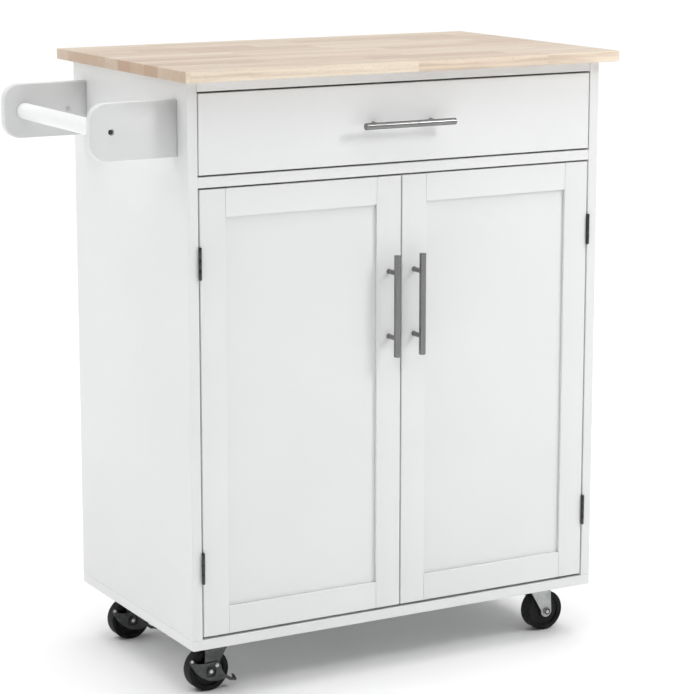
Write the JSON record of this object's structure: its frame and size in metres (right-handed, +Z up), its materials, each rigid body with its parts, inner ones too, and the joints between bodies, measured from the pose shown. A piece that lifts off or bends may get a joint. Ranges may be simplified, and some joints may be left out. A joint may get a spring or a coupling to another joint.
{
  "type": "butcher block kitchen cart",
  "caption": "White kitchen cart with a butcher block worktop, a drawer over two framed doors, a side towel rail and swivel casters.",
  "frame": {"origin": "on the floor, under the middle of the overall box", "axes": "+Z up, the drawer and doors face -Y, +X to the right as seen from the front, the towel rail at -X"},
  "size_m": [0.8318, 0.4508, 0.9144],
  "materials": {
    "butcher_block": "oiled pale rubberwood staves",
    "white_paint": "satin white paint on board",
    "brushed_steel": "fine brushed along the bar",
    "dark_steel": "dark satin plating",
    "zinc": "bright zinc plating",
    "black_wheel": "smooth black, slightly dusty tread",
    "dark_plastic": "moulded matte"
  },
  "bodies": {
    "cabinet": {"worktop": "butcher_block", "left_side_panel": "white_paint", "right_side_panel": "white_paint", "bottom_board": "white_paint", "back_panel": "white_paint", "top_front_rail": "white_paint", "top_back_rail": "white_paint", "middle_rail": "white_paint", "shelf": "white_paint", "left_cabinet_runner": "zinc", "right_cabinet_runner": "zinc", "magnetic_catch": "dark_plastic", "towel_bracket_front": "white_paint", "towel_bracket_back": "white_paint", "towel_rod": "white_paint", "left_upper_hinge_cabinet_leaf": "dark_steel", "left_lower_hinge_cabinet_leaf": "dark_steel", "right_upper_hinge_cabinet_leaf": "dark_steel", "right_lower_hinge_cabinet_leaf": "dark_steel", "front_left_caster_plate": "zinc", "front_right_caster_plate": "zinc", "back_left_caster_plate": "zinc", "back_right_caster_plate": "zinc"},
    "drawer": {"drawer_front": "white_paint", "drawer_left_side": "white_paint", "drawer_right_side": "white_paint", "drawer_back": "white_paint", "drawer_bottom": "white_paint", "drawer_handle": "brushed_steel", "left_drawer_runner": "zinc", "right_drawer_runner": "zinc"},
    "left_door": {"left_door_hinge_stile": "white_paint", "left_door_meeting_stile": "white_paint", "left_door_top_rail": "white_paint", "left_door_bottom_rail": "white_paint", "left_door_panel": "white_paint", "left_door_handle": "brushed_steel", "left_door_strike_plate": "zinc", "left_upper_hinge_door_leaf": "dark_steel", "left_lower_hinge_door_leaf": "dark_steel"},
    "right_door": {"right_door_hinge_stile": "white_paint", "right_door_meeting_stile": "white_paint", "right_door_top_rail": "white_paint", "right_door_bottom_rail": "white_paint", "right_door_panel": "white_paint", "right_door_handle": "brushed_steel", "right_door_strike_plate": "zinc", "right_upper_hinge_door_leaf": "dark_steel", "right_lower_hinge_door_leaf": "dark_steel"},
    "front_left_caster": {"front_left_caster_fork": "dark_steel"},
    "front_left_wheel": {"front_left_caster_wheel": "black_wheel"},
    "front_left_brake": {"front_left_caster_brake": "dark_steel"},
    "front_right_caster": {"front_right_caster_fork": "zinc"},
    "front_right_wheel": {"front_right_caster_wheel": "black_wheel"},
    "back_left_caster": {"back_left_caster_fork": "dark_steel"},
    "back_left_wheel": {"back_left_caster_wheel": "black_wheel"},
    "back_left_brake": {"back_left_caster_brake": "dark_steel"},
    "back_right_caster": {"back_right_caster_fork": "zinc"},
    "back_right_wheel": {"back_right_caster_wheel": "black_wheel"}
  },
  "joints": [
    {"name": "drawer_slide", "type": "slide", "parent": "cabinet", "child": "drawer", "axis": [0, -1, 0], "range_m": [0, 0.26]},
    {"name": "left_door_hinge", "type": "hinge", "parent": "cabinet", "child": "left_door", "pos_m": [-0.26905, -0.19753, 0.4235], "axis": [0, 0, -1], "range_deg": [0, 170]},
    {"name": "right_door_hinge", "type": "hinge", "parent": "cabinet", "child": "right_door", "pos_m": [0.38335, -0.19753, 0.4235], "axis": [0, 0, 1], "range_deg": [0, 170]},
    {"name": "front_left_swivel", "type": "hinge", "parent": "cabinet", "child": "front_left_caster", "pos_m": [-0.22185, -0.13492, 0.072], "axis": [0, 0, 1], "continuous": true},
    {"name": "front_left_roll", "type": "hinge", "parent": "front_left_caster", "child": "front_left_wheel", "pos_m": [-0.23685, -0.13492, 0.0315], "axis": [0, 1, 0], "continuous": true},
    {"name": "front_left_brake_pedal", "type": "hinge", "parent": "front_left_caster", "child": "front_left_brake", "pos_m": [-0.22685, -0.13492, 0.0395], "axis": [0, 1, 0], "range_deg": [0, 8]},
    {"name": "front_right_swivel", "type": "hinge", "parent": "cabinet", "child": "front_right_caster", "pos_m": [0.33615, -0.13492, 0.072], "axis": [0, 0, 1], "continuous": true},
    {"name": "front_right_roll", "type": "hinge", "parent": "front_right_caster", "child": "front_right_wheel", "pos_m": [0.35115, -0.13492, 0.0315], "axis": [0, 1, 0], "continuous": true},
    {"name": "back_left_swivel", "type": "hinge", "parent": "cabinet", "child": "back_left_caster", "pos_m": [-0.22185, 0.14008, 0.072], "axis": [0, 0, 1], "continuous": true},
    {"name": "back_left_roll", "type": "hinge", "parent": "back_left_caster", "child": "back_left_wheel", "pos_m": [-0.23685, 0.14008, 0.0315], "axis": [0, 1, 0], "continuous": true},
    {"name": "back_left_brake_pedal", "type": "hinge", "parent": "back_left_caster", "child": "back_left_brake", "pos_m": [-0.22685, 0.14008, 0.0395], "axis": [0, 1, 0], "range_deg": [0, 8]},
    {"name": "back_right_swivel", "type": "hinge", "parent": "cabinet", "child": "back_right_caster", "pos_m": [0.33615, 0.14008, 0.072], "axis": [0, 0, 1], "continuous": true},
    {"name": "back_right_roll", "type": "hinge", "parent": "back_right_caster", "child": "back_right_wheel", "pos_m": [0.35115, 0.14008, 0.0315], "axis": [0, 1, 0], "continuous": true}
  ]
}
